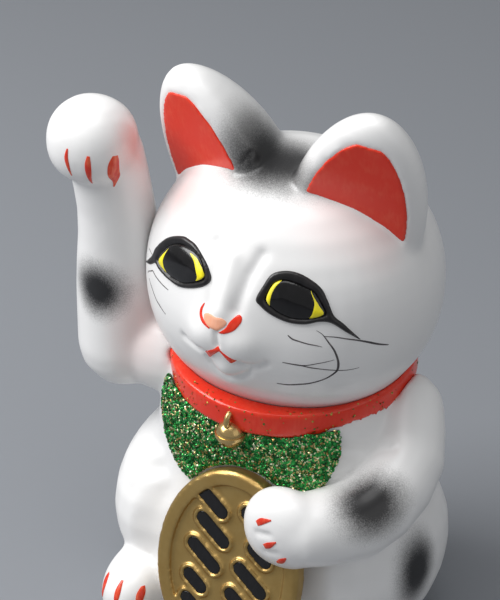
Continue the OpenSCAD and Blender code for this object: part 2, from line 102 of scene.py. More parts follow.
def addNode(tree, kind, settings=None, **inputs):
    node = tree.nodes.new("ShaderNode" + kind)
    for key, value in (settings or {}).items():
        setattr(node, key, value)
    for key, value in inputs.items():
        socket = node.inputs[int(key[1:])] if key[1:].isdigit() else node.inputs[key.replace("_", " ")]
        if isinstance(value, bpy.types.NodeSocket):
            tree.links.new(value, socket)
        else:
            socket.default_value = value
    return node


def newMaterial(name):
    material = bpy.data.materials.new(name)
    material.use_nodes = True
    tree = material.node_tree
    shader = tree.nodes["Principled BSDF"]
    place = tree.nodes.new("ShaderNodeTexCoord").outputs["Object"]
    return material, tree, shader, place


def wear(obj, material):
    obj.data.materials.clear()
    obj.data.materials.append(material)


def pickOnly(*objs):
    bpy.ops.object.select_all(action="DESELECT")
    for o in objs:
        o.select_set(True)
    bpy.context.view_layer.objects.active = objs[0]


def copyOf(name, *names):
    parts = []
    for n in names:
        part = nodes[n].copy()
        part.data = nodes[n].data.copy()
        part.modifiers.clear()
        bpy.context.scene.collection.objects.link(part)
        part.hide_render = False
        parts.append(part)
    pickOnly(*parts)
    if len(parts) > 1:
        bpy.ops.object.join()
    obj = bpy.context.view_layer.objects.active
    obj.parent = None
    obj.matrix_world = Matrix.Identity(4)
    obj.name = obj.data.name = name
    bpy.ops.object.mode_set(mode="EDIT")
    bpy.ops.mesh.select_all(action="SELECT")
    bpy.ops.mesh.remove_doubles(threshold=0.000001)
    bpy.ops.object.mode_set(mode="OBJECT")
    return obj


def applyModifier(obj, kind, **settings):
    pickOnly(obj)
    mod = obj.modifiers.new(kind, kind)
    for key, value in settings.items():
        setattr(mod, key, value)
    bpy.ops.object.modifier_apply(modifier=mod.name)


def readPoints(obj):
    co = np.empty(len(obj.data.vertices) * 3, np.float32)
    obj.data.vertices.foreach_get("co", co)
    return co.reshape(-1, 3).astype(float)


def readNormals(obj):
    no = np.empty(len(obj.data.vertices) * 3, np.float32)
    obj.data.vertices.foreach_get("normal", no)
    return no.reshape(-1, 3).astype(float)


def writePoints(obj, co):
    obj.data.vertices.foreach_set("co", co.astype(np.float32).ravel())
    obj.data.update()


def smoothSkin(obj, voxel, rounds):
    applyModifier(obj, "REMESH", mode="VOXEL", voxel_size=voxel * mm, adaptivity=0)
    applyModifier(obj, "SMOOTH", factor=0.5, iterations=rounds)
    pickOnly(obj)
    bpy.ops.object.shade_smooth()


# gives a finished piece its material and its body, and hides the CAD nodes that it stands for
def handOver(piece, material, slot, *standsFor):
    wear(piece, material)
    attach(piece, "figurine")
    if standsFor:
        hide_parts(*standsFor)


# distance from each point to the nearest place on a line of points
def toLine(points, line):
    best = np.full(len(points), 1e9)
    for a, b in zip(line[:-1], line[1:]):
        d = b - a
        t = np.clip(((points - a) @ d) / max(d @ d, 1e-12), 0, 1)
        best = np.minimum(best, np.linalg.norm(points - a - t[:, None] * d, axis=1))
    return best


# a soft push along the surface's normal, round a point or along a line of points; amounts in mm
def press(obj, base, line, width, amount):
    co = readPoints(obj)
    line = [np.array(base) + np.array(p) * mm for p in line]
    line = line * 2 if len(line) == 1 else line
    fall = np.exp(-(toLine(co, line) / (width * mm)) ** 2)
    writePoints(obj, co + readNormals(obj) * (fall * amount * mm)[:, None])


# painted shapes: a flat outline laid onto the glaze as a thin closed plate
def through(points, closed, steps=6):
    pts = [np.array(p, float) for p in points]
    n = len(pts)
    out = []
    for i in range(n if closed else n - 1):
        a, b, c, d = ((pts[(i + k) % n] if closed else pts[min(max(i + k, 0), n - 1)]) for k in (-1, 0, 1, 2))
        for j in range(steps):
            t = j / steps
            out.append(0.5 * (2 * b + (c - a) * t + (2 * a - 5 * b + 4 * c - d) * t * t
                              + (3 * b - a - 3 * c + d) * t ** 3))
    return out if closed else out + [pts[-1]]


def stroke(points, widths, steps=6):
    line = through([tuple(p) + (w,) for p, w in zip(points, widths)], False, steps)
    left, right = [], []
    for i, p in enumerate(line):
        ahead = line[min(i + 1, len(line) - 1)][:2] - line[max(i - 1, 0)][:2]
        side = np.array((-ahead[1], ahead[0])) / max(np.linalg.norm(ahead), 1e-9)
        left.append(p[:2] + side * p[2] / 2)
        right.append(p[:2] - side * p[2] / 2)
    return left + right[::-1]


def inside(p, outline):
    odd = False
    for (x1, y1), (x2, y2) in zip(outline, outline[1:] + outline[:1]):
        if (y1 > p[1]) != (y2 > p[1]) and p[0] < (x2 - x1) * (p[1] - y1) / (y2 - y1) + x1:
            odd = not odd
    return odd


def surfaceOf(*objs):
    points, faces = [], []
    for o in objs:
        start = len(points)
        points += [v.co.copy() for v in o.data.vertices]
        faces += [[start + i for i in p.vertices] for p in o.data.polygons]
    return BVHTree.FromPolygons(points, faces)


def roundEdge(d, edge):
    t = np.clip(d / edge, 0, 1)
    return np.sqrt(1 - (1 - t) ** 2)


# how far before the base, in mm, a mark starts on its way to the glaze, and where a miss looks for it
markStart = 200
markNear = 30


# outline: points (across, up) in mm from base; height: thickness above the glaze as a function of
# the points and their distance to the outline
def paint(name, base, outline, surface, height, grain=0.6, sink=0.35):
    edge = [tuple(p) for p in outline]
    low, high = np.min(edge, axis=0), np.max(edge, axis=0)
    ring = [np.array(p) for p in edge]
    grid = [(x + (0.25 if j % 2 else -0.25) * grain, y)
            for j, y in enumerate(np.arange(low[1] + grain / 2, high[1], grain * 0.87))
            for x in np.arange(low[0] + grain / 2, high[0], grain)]
    grid = [p for p in grid if inside(p, edge)]
    if grid:
        gap = toLine(np.array(grid), ring + ring[:1])
        grid = [p for p, g in zip(grid, gap) if g > grain * 0.45]
    flat = [Vector(p) for p in edge + grid]
    count = len(edge)
    loops = [(i, (i + 1) % count) for i in range(count)]
    points, _, faces, _, _, _ = delaunay_2d_cdt(flat, loops, [], 1, 1e-7)
    points = [tuple(p) for p in points]
    away = toLine(np.array(points), ring + ring[:1])
    thick = height(np.array(points), away)
    top, bottom = [], []
    for (x, z), h in zip(points, thick):
        start = base + Vector((x * mm, -markStart * mm, z * mm))
        spot, normal, _, _ = surface.ray_cast(start, Vector((0, 1, 0)))
        if spot is None:
            spot, normal, _, _ = surface.find_nearest(base + Vector((x * mm, -markNear * mm, z * mm)))
        top.append(spot + normal * h * mm)
        bottom.append(spot - normal * sink * mm)
    n = len(points)
    uses = {}
    for f in faces:
        for a, b in zip(f, list(f[1:]) + [f[0]]):
            uses.setdefault((min(a, b), max(a, b)), []).append((a, b))
    rim = [u[0] for u in uses.values() if len(u) == 1]
    mesh = bpy.data.meshes.new(name)
    mesh.from_pydata([tuple(p) for p in top + bottom], [],
                     [tuple(f) for f in faces] + [tuple(n + i for i in reversed(f)) for f in faces]
                     + [(b, a, n + a, n + b) for a, b in rim])
    mesh.update()
    obj = bpy.data.objects.new(name, mesh)
    bpy.context.scene.collection.objects.link(obj)
    pickOnly(obj)
    bpy.ops.object.mode_set(mode="EDIT")
    bpy.ops.mesh.select_all(action="SELECT")
    bpy.ops.mesh.normals_make_consistent(inside=False)
    bpy.ops.object.mode_set(mode="OBJECT")
    bpy.ops.object.shade_smooth_by_angle(angle=math.radians(50))
    return obj


# share of a brush mark's thickness that is left at its very edge
edgeShare = 0.4


def flatPaint(thick, edge):
    return lambda points, away: thick * (edgeShare + (1 - edgeShare) * roundEdge(away, edge))


# materials
# how many grains or patches of each pattern lie along one metre, and their size in mm
grains = {
    "airbrushSpeck": 2600,  # 0.4
    "airbrushCloud": 130,   # 8
    "glazeTint": 40,        # 25
    "glazeRipple": 90,      # 11
    "brushStreak": 900,     # 1.1
    "enamelPool": 180,      # 5.5
    "goldGrit": 1500,       # 0.7
    "goldPatch": 160,       # 6
    "glitterCell": 1300,    # 0.8
    "flakeTint": 700,       # 1.4
    "clayGrit": 700,        # 1.4
    "clayStain": 60,        # 17
    "rubberBloom": 120,     # 8
    "rubberGrain": 2500,    # 0.4
}


# White glaze over slip-cast clay, airbrushed with black: a soft, slightly satin gloss on a white that is a
# touch warm, with airbrushed spots that fade out in fine specks, and pink patches set into the creases as
# painted warm shade
sprayedSpotsAndCreaseShade = {
    "black": "#1d1c1d",
    # pink of the painted crease shade
    "creaseShadePink": "#efb9b2",
    "white": "#ecebea",
    # centre and half sizes in mm from the middle of the foot, softness, strength
    "blackSpots": [
        ((-55.6, -28.4, 109.4), (8.5, 10, 8.5), 0.62, 1.0),
        ((47.0, -32.0, 67.4), (10, 11, 9), 0.60, 1.0),
        ((55.0, -12.2, 34.0), (9, 8.5, 12), 0.60, 1.0),
        ((-6, -11, 163), (12, 13, 10), 0.75, 1.0),
        ((5, -9, 163), (13, 12, 8), 0.75, 0.95),
        ((-11, -13, 171), (6, 9, 9), 0.90, 0.62),
    ],
    # pink patches in the creases between raised paw, ears, head, arm and body, and under the chin: painted
    # warm crease shade
    "creaseShadePinkSpots": [
        ((-42, -22, 162), (6, 9, 8), 0.85, 0.75),
        ((-27, -24, 150), (11, 7, 6), 0.90, 0.45),
        ((24, -22, 151), (12, 7, 7), 0.90, 0.15),
        ((36, -14, 146), (6, 8, 8), 0.90, 0.15),
        ((-43, -24, 97), (7, 12, 14), 0.90, 0.30),
        ((-20, -36, 96), (14, 9, 5), 0.90, 0.35),
    ],
}


def glazeMaterial(s):
    material, tree, shader, place = newMaterial("white glaze on clay, airbrushed, with painted crease shade")
    specks = addNode(tree, "TexNoise", {"noise_dimensions": "3D"}, Vector=place,
                     Scale=grains["airbrushSpeck"], Detail=1.0)
    cloud = addNode(tree, "TexNoise", {"noise_dimensions": "3D"}, Vector=place,
                    Scale=grains["airbrushCloud"], Detail=2.0)
    colour = addNode(tree, "TexNoise", {"noise_dimensions": "3D"}, Vector=place, Scale=grains["glazeTint"],
                     Detail=2.0)
    base = addNode(tree, "Mix", {"data_type": "RGBA"}, _0=colour.outputs["Fac"],
                   _6=hexColour(s["white"]), _7=hexColour("#f2f1f0")).outputs[2]
    rough = addNode(tree, "Math", {"operation": "MULTIPLY_ADD"}, _0=cloud.outputs["Fac"], _1=0.22,
                    _2=-0.11).outputs[0]
    grain = addNode(tree, "Math", {"operation": "MULTIPLY_ADD"}, _0=specks.outputs["Fac"], _1=0.5,
                    _2=-0.25).outputs[0]
    both = addNode(tree, "Math", {"operation": "ADD"}, _0=rough, _1=grain).outputs[0]
    # the pink patches are painted crease shade; the black ones are the airbrushed spots
    for kind in ("creaseShadePink", "black"):
        for centre, half, soft, strength in s[kind + "Spots"]:
            c = [v * mm for v in centre]
            c[0] += foot.x
            c[1] += foot.y
            shifted = addNode(tree, "VectorMath", {"operation": "SUBTRACT"}, _0=place, _1=c).outputs[0]
            scaled = addNode(tree, "VectorMath", {"operation": "DIVIDE"}, _0=shifted,
                             _1=[v * mm for v in half]).outputs[0]
            far = addNode(tree, "VectorMath", {"operation": "LENGTH"}, _0=scaled).outputs["Value"]
            edge = addNode(tree, "Math", {"operation": "ADD"}, _0=far, _1=both).outputs[0]
            mask = addNode(tree, "MapRange", {"interpolation_type": "SMOOTHSTEP"}, _0=edge, _1=1.0 - soft,
                           _2=1.0 + soft, _3=strength, _4=0.0).outputs[0]
            base = addNode(tree, "Mix", {"data_type": "RGBA"}, _0=mask, _6=base,
                           _7=hexColour(s[kind])).outputs[2]
    tree.links.new(base, shader.inputs["Base Color"])
    shader.inputs["Roughness"].default_value = 0.36
    shader.inputs["IOR"].default_value = 1.5
    shader.inputs["Coat Weight"].default_value = 0.25
    shader.inputs["Coat Roughness"].default_value = 0.16
    ripple = addNode(tree, "TexNoise", {"noise_dimensions": "3D"}, Vector=place,
                     Scale=grains["glazeRipple"], Detail=3.0)
    bump = addNode(tree, "Bump", None, Strength=0.05, Distance=0.0004, Height=ripple.outputs["Fac"])
    tree.links.new(bump.outputs[0], shader.inputs["Normal"])
    return material


# Brushed enamel paint: full colour, wet gloss, a little streaky where the brush ran thin
def enamelMaterial(name, main, thin, rough, streak):
    material, tree, shader, place = newMaterial(name)
    stretch = addNode(tree, "Mapping", None, Vector=place, Scale=(1.0, 1.0, 0.25)).outputs[0]
    brush = addNode(tree, "TexNoise", {"noise_dimensions": "3D"}, Vector=stretch,
                    Scale=grains["brushStreak"], Detail=3.0)
    pool = addNode(tree, "TexNoise", {"noise_dimensions": "3D"}, Vector=place, Scale=grains["enamelPool"],
                   Detail=2.0)
    mixed = addNode(tree, "Math", {"operation": "MULTIPLY"}, _0=brush.outputs["Fac"],
                    _1=pool.outputs["Fac"]).outputs[0]
    thinness = addNode(tree, "MapRange", None, _0=mixed, _1=0.2, _2=0.45, _3=0.0, _4=streak).outputs[0]
    colour = addNode(tree, "Mix", {"data_type": "RGBA"}, _0=thinness, _6=hexColour(main),
                     _7=hexColour(thin)).outputs[2]
    tree.links.new(colour, shader.inputs["Base Color"])
    shader.inputs["Roughness"].default_value = rough
    shader.inputs["IOR"].default_value = 1.5
    bump = addNode(tree, "Bump", None, Strength=0.15, Distance=0.0002, Height=brush.outputs["Fac"])
    tree.links.new(bump.outputs[0], shader.inputs["Normal"])
    return material


# Satin gold lacquer on clay: warm metal flakes in a clear binder, browner in random patches
def goldMaterial(name, light, deep, rough):
    material, tree, shader, place = newMaterial(name)
    grit = addNode(tree, "TexNoise", {"noise_dimensions": "3D"}, Vector=place, Scale=grains["goldGrit"],
                   Detail=2.0)
    patch = addNode(tree, "TexNoise", {"noise_dimensions": "3D"}, Vector=place, Scale=grains["goldPatch"],
                    Detail=3.0)
    colour = addNode(tree, "Mix", {"data_type": "RGBA"}, _0=patch.outputs["Fac"], _6=hexColour(deep),
                     _7=hexColour(light)).outputs[2]
    tree.links.new(colour, shader.inputs["Base Color"])
    shader.inputs["Metallic"].default_value = 0.85
    spread = addNode(tree, "MapRange", None, _0=patch.outputs["Fac"], _1=0.3, _2=0.7, _3=rough + 0.08,
                     _4=rough - 0.08).outputs[0]
    tree.links.new(spread, shader.inputs["Roughness"])
    bump = addNode(tree, "Bump", None, Strength=0.25, Distance=0.00015, Height=grit.outputs["Fac"])
    tree.links.new(bump.outputs[0], shader.inputs["Normal"])
    return material


# Glitter set in green enamel: the paint is a little lumpy, bright green on the lumps and dark green in the
# grooves between them, which is painted shade
def glitterBedMaterial():
    material, tree, shader, place = newMaterial("green enamel bed for glitter, with painted groove shade")
    cells = addNode(tree, "TexVoronoi", None, Vector=place, Scale=grains["glitterCell"])
    # colour follows the lumps: darker where the bump sinks, painted shade in the grooves
    tone = addNode(tree, "MapRange", None, _0=cells.outputs["Distance"], _1=0.1, _2=0.6, _3=0.0,
                   _4=1.0).outputs[0]
    colour = addNode(tree, "Mix", {"data_type": "RGBA"}, _0=tone, _6=hexColour("#2f8a45"),
                     _7=hexColour("#0f3518")).outputs[2]
    tree.links.new(colour, shader.inputs["Base Color"])
    shader.inputs["Roughness"].default_value = 0.35
    bump = addNode(tree, "Bump", {"invert": True}, Strength=0.6, Distance=0.0003,
                   Height=cells.outputs["Distance"])
    tree.links.new(bump.outputs[0], shader.inputs["Normal"])
    return material


# Glitter flakes: tiny mirror-bright cut foil in one colour, each flake tilted its own way
def flakeMaterial(name, main, other):
    material, tree, shader, place = newMaterial(name)
    cells = addNode(tree, "TexNoise", {"noise_dimensions": "3D"}, Vector=place, Scale=grains["flakeTint"],
                    Detail=0.0)
    tone = addNode(tree, "MapRange", None, _0=cells.outputs["Fac"], _1=0.4, _2=0.6, _3=0.0, _4=1.0).outputs[0]
    colour = addNode(tree, "Mix", {"data_type": "RGBA"}, _0=tone, _6=hexColour(main),
                     _7=hexColour(other)).outputs[2]
    tree.links.new(colour, shader.inputs["Base Color"])
    shader.inputs["Metallic"].default_value = 0.8
    shader.inputs["Roughness"].default_value = 0.28
    return material


# Unglazed clay under the foot: chalky, cream, with fine pits
def clayMaterial():
    material, tree, shader, place = newMaterial("unglazed slip-cast clay")
    grit = addNode(tree, "TexNoise", {"noise_dimensions": "3D"}, Vector=place, Scale=grains["clayGrit"],
                   Detail=4.0)
    stain = addNode(tree, "TexNoise", {"noise_dimensions": "3D"}, Vector=place, Scale=grains["clayStain"],
                    Detail=3.0)
    colour = addNode(tree, "Mix", {"data_type": "RGBA"}, _0=stain.outputs["Fac"], _6=hexColour("#d8cdbd"),
                     _7=hexColour("#ece5da")).outputs[2]
    tree.links.new(colour, shader.inputs["Base Color"])
    shader.inputs["Roughness"].default_value = 0.85
    bump = addNode(tree, "Bump", None, Strength=0.4, Distance=0.0003, Height=grit.outputs["Fac"])
    tree.links.new(bump.outputs[0], shader.inputs["Normal"])
    return material


# Moulded soft rubber: dull, nearly black, with a faint bloom
def rubberMaterial():
    material, tree, shader, place = newMaterial("moulded soft rubber")
    bloom = addNode(tree, "TexNoise", {"noise_dimensions": "3D"}, Vector=place,
                    Scale=grains["rubberBloom"], Detail=4.0)
    colour = addNode(tree, "Mix", {"data_type": "RGBA"}, _0=bloom.outputs["Fac"], _6=hexColour("#2f2e2d"),
                     _7=hexColour("#45433f")).outputs[2]
    tree.links.new(colour, shader.inputs["Base Color"])
    shader.inputs["Roughness"].default_value = 0.62
    grain = addNode(tree, "TexNoise", {"noise_dimensions": "3D"}, Vector=place,
                    Scale=grains["rubberGrain"], Detail=2.0)
    bump = addNode(tree, "Bump", None, Strength=0.2, Distance=0.0001, Height=grain.outputs["Fac"])
    tree.links.new(bump.outputs[0], shader.inputs["Normal"])
    return material


glaze = glazeMaterial(sprayedSpotsAndCreaseShade)
redEnamel = enamelMaterial("vermilion brushed enamel", "#e8341c", "#f0563a", 0.22, 0.5)
clawEnamel = enamelMaterial("vermilion brush touches", "#d9351f", "#f07a52", 0.25, 0.8)
blackEnamel = enamelMaterial("black brushed enamel", "#0d0c0d", "#1c1a1c", 0.16, 0.6)
lidEnamel = enamelMaterial("black brushed enamel on the lids", "#141213", "#2a2628", 0.34, 0.8)
yellowEnamel = enamelMaterial("yellow brushed enamel", "#f7e71e", "#fdf37a", 0.3, 0.5)
peachEnamel = enamelMaterial("peach brushed enamel", "#f9b08d", "#fcc7ac", 0.35, 0.5)
whiskerPaint = enamelMaterial("grey brush line", "#3b3638", "#7d7677", 0.45, 0.9)
coinGold = goldMaterial("satin gold lacquer", "#c9aa6c", "#a5854c", 0.36)
bellGold = goldMaterial("bright gold lacquer", "#d9bd82", "#b5935a", 0.24)
print("materials made")


# head: casting and ears in one glazed skin
headSkin = {"voxel": 0.7, "rounds": 40}
# soft modelling: points in mm from the head's middle, width and height of the push in mm
faceRelief = [
    ([(0, -37, 22), (0, -40.5, 16.5), (0, -43, 11.5), (0, -45, 8)], 2.6, 1.1),
    ([(4, -31, 30)], 9.0, 1.1),
    ([(8.4, -35.2, 24.6), (6.2, -38.8, 18.8), (5.3, -41.6, 13.2), (4.6, -43.5, 8.5)], 2.0, -1.1),
    ([(-7.6, -35.4, 24.4), (-5.6, -38.8, 18.8), (-4.8, -42.0, 12.5), (-4.4, -43.5, 8.5)], 2.0, -0.9),
    ([(0, -45, 4)], 4.0, 0.8),
    ([(-7, -45, -3)], 5.5, 1.2),
    ([(7, -45, -3)], 5.5, 1.2),
    ([(-0.6, -46.5, 0.5), (-0.4, -46.8, -1.5), (-0.2, -46.5, -3.8)], 0.9, -0.9),
    ([(-15.7, -41.5, -8.4), (-12.2, -42.3, -9.2), (-8.8, -43.6, -9.4), (-5.6, -44.5, -8.6)], 1.4, -0.9),
    ([(5.8, -44.2, -9.1), (8.1, -43.3, -10.2), (10.8, -42.4, -10.2), (13.7, -41.9, -8.6)], 1.4, -1.0),
    ([(1.0, -42.7, -12.6)], 3.6, 1.3),
    ([(-5.4, -42.8, -11.4), (-4.4, -42.2, -13.5), (-2.8, -41.8, -15.2), (0.8, -41.2, -17.0), (4.2, -41.0,
                                                                                              -16.4),
      (7.6, -41.4, -13.8), (9.5, -42.4, -10.8)], 1.3, -1.1),
    ([(-7.8, -15.5, 45.6), (-8.6, -16.6, 44.5), (-10.1, -17.9, 42.6)], 0.9, -0.9),
]
headNodes = ("head_casting", "right_ear", "left_ear")
glazedHead = copyOf("glazed_head", *headNodes)
smoothSkin(glazedHead, **headSkin)
for line, width, amount in faceRelief:
    press(glazedHead, head, line, width, amount)
handOver(glazedHead, glaze, "white_glaze", *headNodes)
print("head skin", len(glazedHead.data.polygons), "faces")

# body: torso, arms, feet and tail in one glazed skin
bodySkin = {"voxel": 0.9, "rounds": 26}
bodyRelief = [
    ([(32, -26.5, 78.5), (37.8, -20, 77.4), (44.2, -15.6, 78.3)], 2.2, -1.3),
    ([(-49.2, -39.2, 157.5), (-48.9, -38.6, 154.0)], 1.0, -0.6),
    ([(-42.9, -32.5, 156.5), (-42.8, -31.0, 153.0)], 1.0, -0.6),
    ([(-55.4, -40.0, 157.0), (-55.2, -39.5, 153.8)], 1.0, -0.6),
    ([(18.5, -52.4, 58.0), (23.0, -53.0, 59.0)], 1.1, -0.8),
    ([(21.5, -52.8, 51.8), (26.0, -53.0, 53.0)], 1.1, -0.8),
]
bodyNodes = ("torso_casting", "raised_arm", "lowered_arm", "right_foot", "left_foot", "tail")
glazedBody = copyOf("glazed_body", *bodyNodes)
smoothSkin(glazedBody, **bodySkin)
for line, width, amount in bodyRelief:
    press(glazedBody, foot, line, width, amount)
handOver(glazedBody, glaze, "white_glaze", *bodyNodes)
print("body skin", len(glazedBody.data.polygons), "faces")

headSurface = surfaceOf(glazedHead)
bodySurface = surfaceOf(glazedBody)


# eyes
# outlines in mm across and up from the head's middle
eyes = {
    "left": {
        "lids": [(9.7, 12.8), (10.9, 16.7), (12.7, 20.4), (16.6, 21.8), (21.2, 21.0), (26.4, 17.9), (29.1,
                                                                                                     14.0),
                 (31.3, 9.5), (34.2, 6.5), (37.9, 1.1), (34.9, 3.9), (31.1, 7.1), (28.0, 7.6), (23.9, 6.5),
                 (19.2, 6.8), (14.3, 8.8), (11.2, 11.0)],
        "ball": [(12.3, 12.7), (12.6, 15.2), (13.8, 17.9), (16.2, 19.2), (19.4, 18.9), (22.3, 17.9), (25.2,
                                                                                                      16.6),
                 (27.3, 13.9), (29.3, 10.1), (26.5, 8.7), (23.3, 8.0), (19.8, 8.2), (16.6, 9.4), (14.1,
                                                                                                  11.0)],
        "inner": [(16.0, 19.2), (14.3, 18.4), (13.3, 16.2), (12.9, 13.8), (13.5, 12.4), (14.1, 11.8),
                  (14.2, 13.0),
                  (14.3, 15.4), (15.0, 17.6)],
        "outer": [(24.5, 17.0), (26.2, 14.7), (27.6, 12.7), (28.9, 10.3), (25.5, 8.8), (26.1, 10.2), (26.4,
                                                                                                      12.4),
                  (26.0, 14.4)],
    },
    "right": {
        "lids": [(-6.1, 14.7), (-7.3, 16.7), (-9.2, 18.6), (-14.0, 21.3), (-17.4, 21.8), (-21.1, 21.4),
                 (-27.2, 18.2), (-31.9, 13.0), (-33.5, 9.5), (-37.9, 4.3), (-34.8, 5.7), (-31.1, 8.4),
                 (-27.9, 7.6),
                 (-22.1, 7.0), (-18.2, 7.3), (-13.6, 9.0), (-9.4, 11.1), (-6.8, 13.0)],
        "ball": [(-8.2, 14.3), (-9.2, 16.8), (-12.0, 19.2), (-15.8, 19.9), (-20.6, 19.4), (-25.0, 17.2),
                 (-28.4, 13.5), (-29.6, 10.2), (-26.3, 8.9), (-21.5, 8.5), (-16.6, 9.2), (-12.0, 11.4),
                 (-9.0, 13.2)],
        "inner": [(-15.5, 19.2), (-12.8, 18.9), (-11.0, 17.9), (-9.2, 16.3), (-8.6, 14.6), (-11.1, 12.7),
                  (-10.7, 14.2), (-12.1, 16.6), (-13.3, 18.0)],
        "outer": [(-25.1, 16.4), (-29.1, 10.4), (-24.7, 9.1), (-25.8, 10.3), (-26.5, 12.4), (-25.9, 14.8)],
    },
}


# heights and bevels in mm; grain is the distance between the points of a mark
eyePaint = {"grain": 0.4, "lidRise": 0.75, "lidBevel": 1.1, "underBall": 0.12, "ballLow": 0.14,
            "ballHigh": 1.6,
            "ballEdge": 6.5, "crescent": 0.14, "crescentEdge": 0.4, "crescentGrain": 0.35}


def lidHeight(ball, s):
    ring = [np.array(p) for p in ball]

    def height(points, away):
        inner = toLine(points, ring + ring[:1])
        hidden = np.array([inside(p, ball) for p in points])
        lip = s["lidRise"] * roundEdge(np.minimum(away, inner), s["lidBevel"])
        return np.where(hidden, s["underBall"], s["underBall"] + lip)
    return height


def domeHeight(low, high, edge):
    return lambda points, away: low + (high - low) * roundEdge(away, edge)


for side, e in eyes.items():
    ball = [tuple(p) for p in through(e["ball"], True)]
    lids = paint(side + "_eye_lids", head, through(e["lids"], True), headSurface,
                 lidHeight(ball, eyePaint), eyePaint["grain"])
    eyeball = paint(side + "_eyeball", head, ball, headSurface,
                    domeHeight(eyePaint["ballLow"], eyePaint["ballHigh"], eyePaint["ballEdge"]),
                    eyePaint["grain"])
    dome = surfaceOf(glazedHead, eyeball)
    for part in ("inner", "outer"):
        crescent = paint(side + "_eye_yellow_" + part, head, through(e[part], True, 4), dome,
                         flatPaint(eyePaint["crescent"], eyePaint["crescentEdge"]), eyePaint["crescentGrain"])
        handOver(crescent, yellowEnamel, "red_enamel")
    handOver(lids, lidEnamel, "black_enamel")
    handOver(eyeball, blackEnamel, "black_enamel", side + "_eye")
print("eyes painted")


# nose, mouth and whiskers
face = {
    "pad": [(-5.6, 4.6), (-4.7, 5.4), (-3.2, 5.8), (-0.9, 5.8), (1.1, 6.0), (2.3, 5.4), (2.7, 4.6), (2.1,
                                                                                                     3.5),
            (0.6, 2.1), (-0.4, 1.4), (-1.8, 1.6), (-3.8, 2.0), (-5.1, 3.1)],
    "rightNostril": ([(-6.5, 7.6), (-7.2, 5.6), (-6.9, 3.9), (-5.5, 2.6), (-2.9, 1.5)], [0.3, 0.9, 1.1,
                                                                                         1.1, 0.6]),
    "leftNostril": [(0.4, 1.1), (1.3, 1.8), (2.6, 3.2), (3.5, 5.1), (4.3, 6.3), (5.3, 7.3), (6.2, 7.3),
                    (6.8, 6.6),
                    (6.8, 5.5), (6.3, 4.4), (5.6, 3.3), (4.8, 2.5), (3.6, 1.8), (2.0, 1.1)],
    "mouth": [(-5.9, -9.0), (-3.3, -6.8), (-1.4, -5.5), (0.1, -4.1), (1.1, -5.4), (3.1, -6.6), (4.6, -7.3),
              (5.6, -7.9), (4.8, -8.9), (3.7, -9.5), (2.9, -8.7), (1.8, -7.3), (0.7, -5.9), (0.0, -6.1),
              (-1.9, -8.0), (-4.1, -10.2), (-5.4, -9.4)],
    "whiskers": [
        ([(19.9, 2.7), (21.2, 1.6), (23.0, 1.0), (25.4, 0.3), (27.5, -0.1), (29.2, -0.6)],
         [0.25, 0.45, 0.4, 0.35, 0.3, 0.1]),
        ([(29.4, 3.0), (32.5, 2.6), (36.3, 1.3), (38.6, 0.2), (40.8, -1.5), (43.0, -3.4)],
         [0.15, 0.3, 0.4, 0.5, 0.55, 0.3]),
        ([(27.4, 4.8), (29.1, 3.5), (30.7, 1.0), (32.2, -1.9), (33.0, -5.1), (33.1, -7.4), (32.7, -9.4),
          (31.7, -10.8),
          (30.2, -12.2), (28.1, -13.5), (25.2, -14.7), (22.5, -15.3), (19.1, -15.9), (16.2, -15.8)],
         [0.1, 0.2, 0.35, 0.45, 0.5, 0.55, 0.5, 0.45, 0.4, 0.4, 0.45, 0.5, 0.45, 0.3]),
        ([(18.7, -6.8), (21.5, -7.2), (23.9, -7.5), (26.1, -8.1), (28.6, -8.6), (31.0, -9.1), (33.7, -9.6),
          (35.7, -9.7), (37.5, -9.4)], [0.2, 0.4, 0.4, 0.35, 0.3, 0.3, 0.25, 0.2, 0.1]),
        ([(23.6, -7.4), (25.3, -7.3), (27.9, -6.6), (30.1, -6.0), (32.2, -5.3)], [0.2, 0.25, 0.25, 0.2, 0.1]),
        ([(-36.5, 1.6), (-35.6, 2.8), (-33.9, 4.1), (-32.5, 5.0), (-30.9, 4.6), (-27.0, 4.0), (-23.4, 3.8)],
         [0.15, 0.25, 0.3, 0.35, 0.35, 0.35, 0.25]),
        ([(-34.8, 0.9), (-33.7, -0.1), (-31.5, -1.6), (-29.5, -3.1), (-27.5, -3.9), (-24.3, -5.1)],
         [0.15, 0.25, 0.3, 0.35, 0.4, 0.2]),
        ([(-37.5, 9.0), (-35.8, 9.1), (-33.9, 9.2)], [0.1, 0.25, 0.15]),
    ],
}
pad = paint("nose_pad", head, through(face["pad"], True), headSurface, flatPaint(0.3, 0.8), 0.45)
handOver(pad, peachEnamel, "peach_enamel", "nose")
noseSurface = surfaceOf(glazedHead, pad)
rightNostril = paint("right_nostril", head, stroke(*face["rightNostril"]), noseSurface,
                     flatPaint(0.22, 0.4), 0.4)
leftNostril = paint("left_nostril", head, through(face["leftNostril"], True), noseSurface,
                    flatPaint(0.25, 0.5), 0.4)
mouthLine = paint("mouth_line", head, through(face["mouth"], True, 4), headSurface, flatPaint(0.25, 0.5), 0.4)
for nostril in (rightNostril, leftNostril):
    handOver(nostril, redEnamel, "red_enamel")
handOver(mouthLine, redEnamel, "red_enamel", "mouth")
for i, (points, widths) in enumerate(face["whiskers"]):
    whisker = paint("whisker_%d" % (i + 1), head, stroke(points, widths), headSurface,
                    flatPaint(0.14, 0.2), 0.5, 0.2)
    handOver(whisker, whiskerPaint, "black_enamel")
print("face painted")


# claws
# mm from the cat's middle to the middle of a foot
footSide = 33


# three brush touches that fan out over the toes
def footClaws(middle):
    return [([(middle + k * 6.5, 17.5 - abs(k)), (middle + k * 6.8, 14), (middle + k * 7, 9)], [0.8, 2.0,
                                                                                                0.5])
            for k in (-1, 0, 1)]


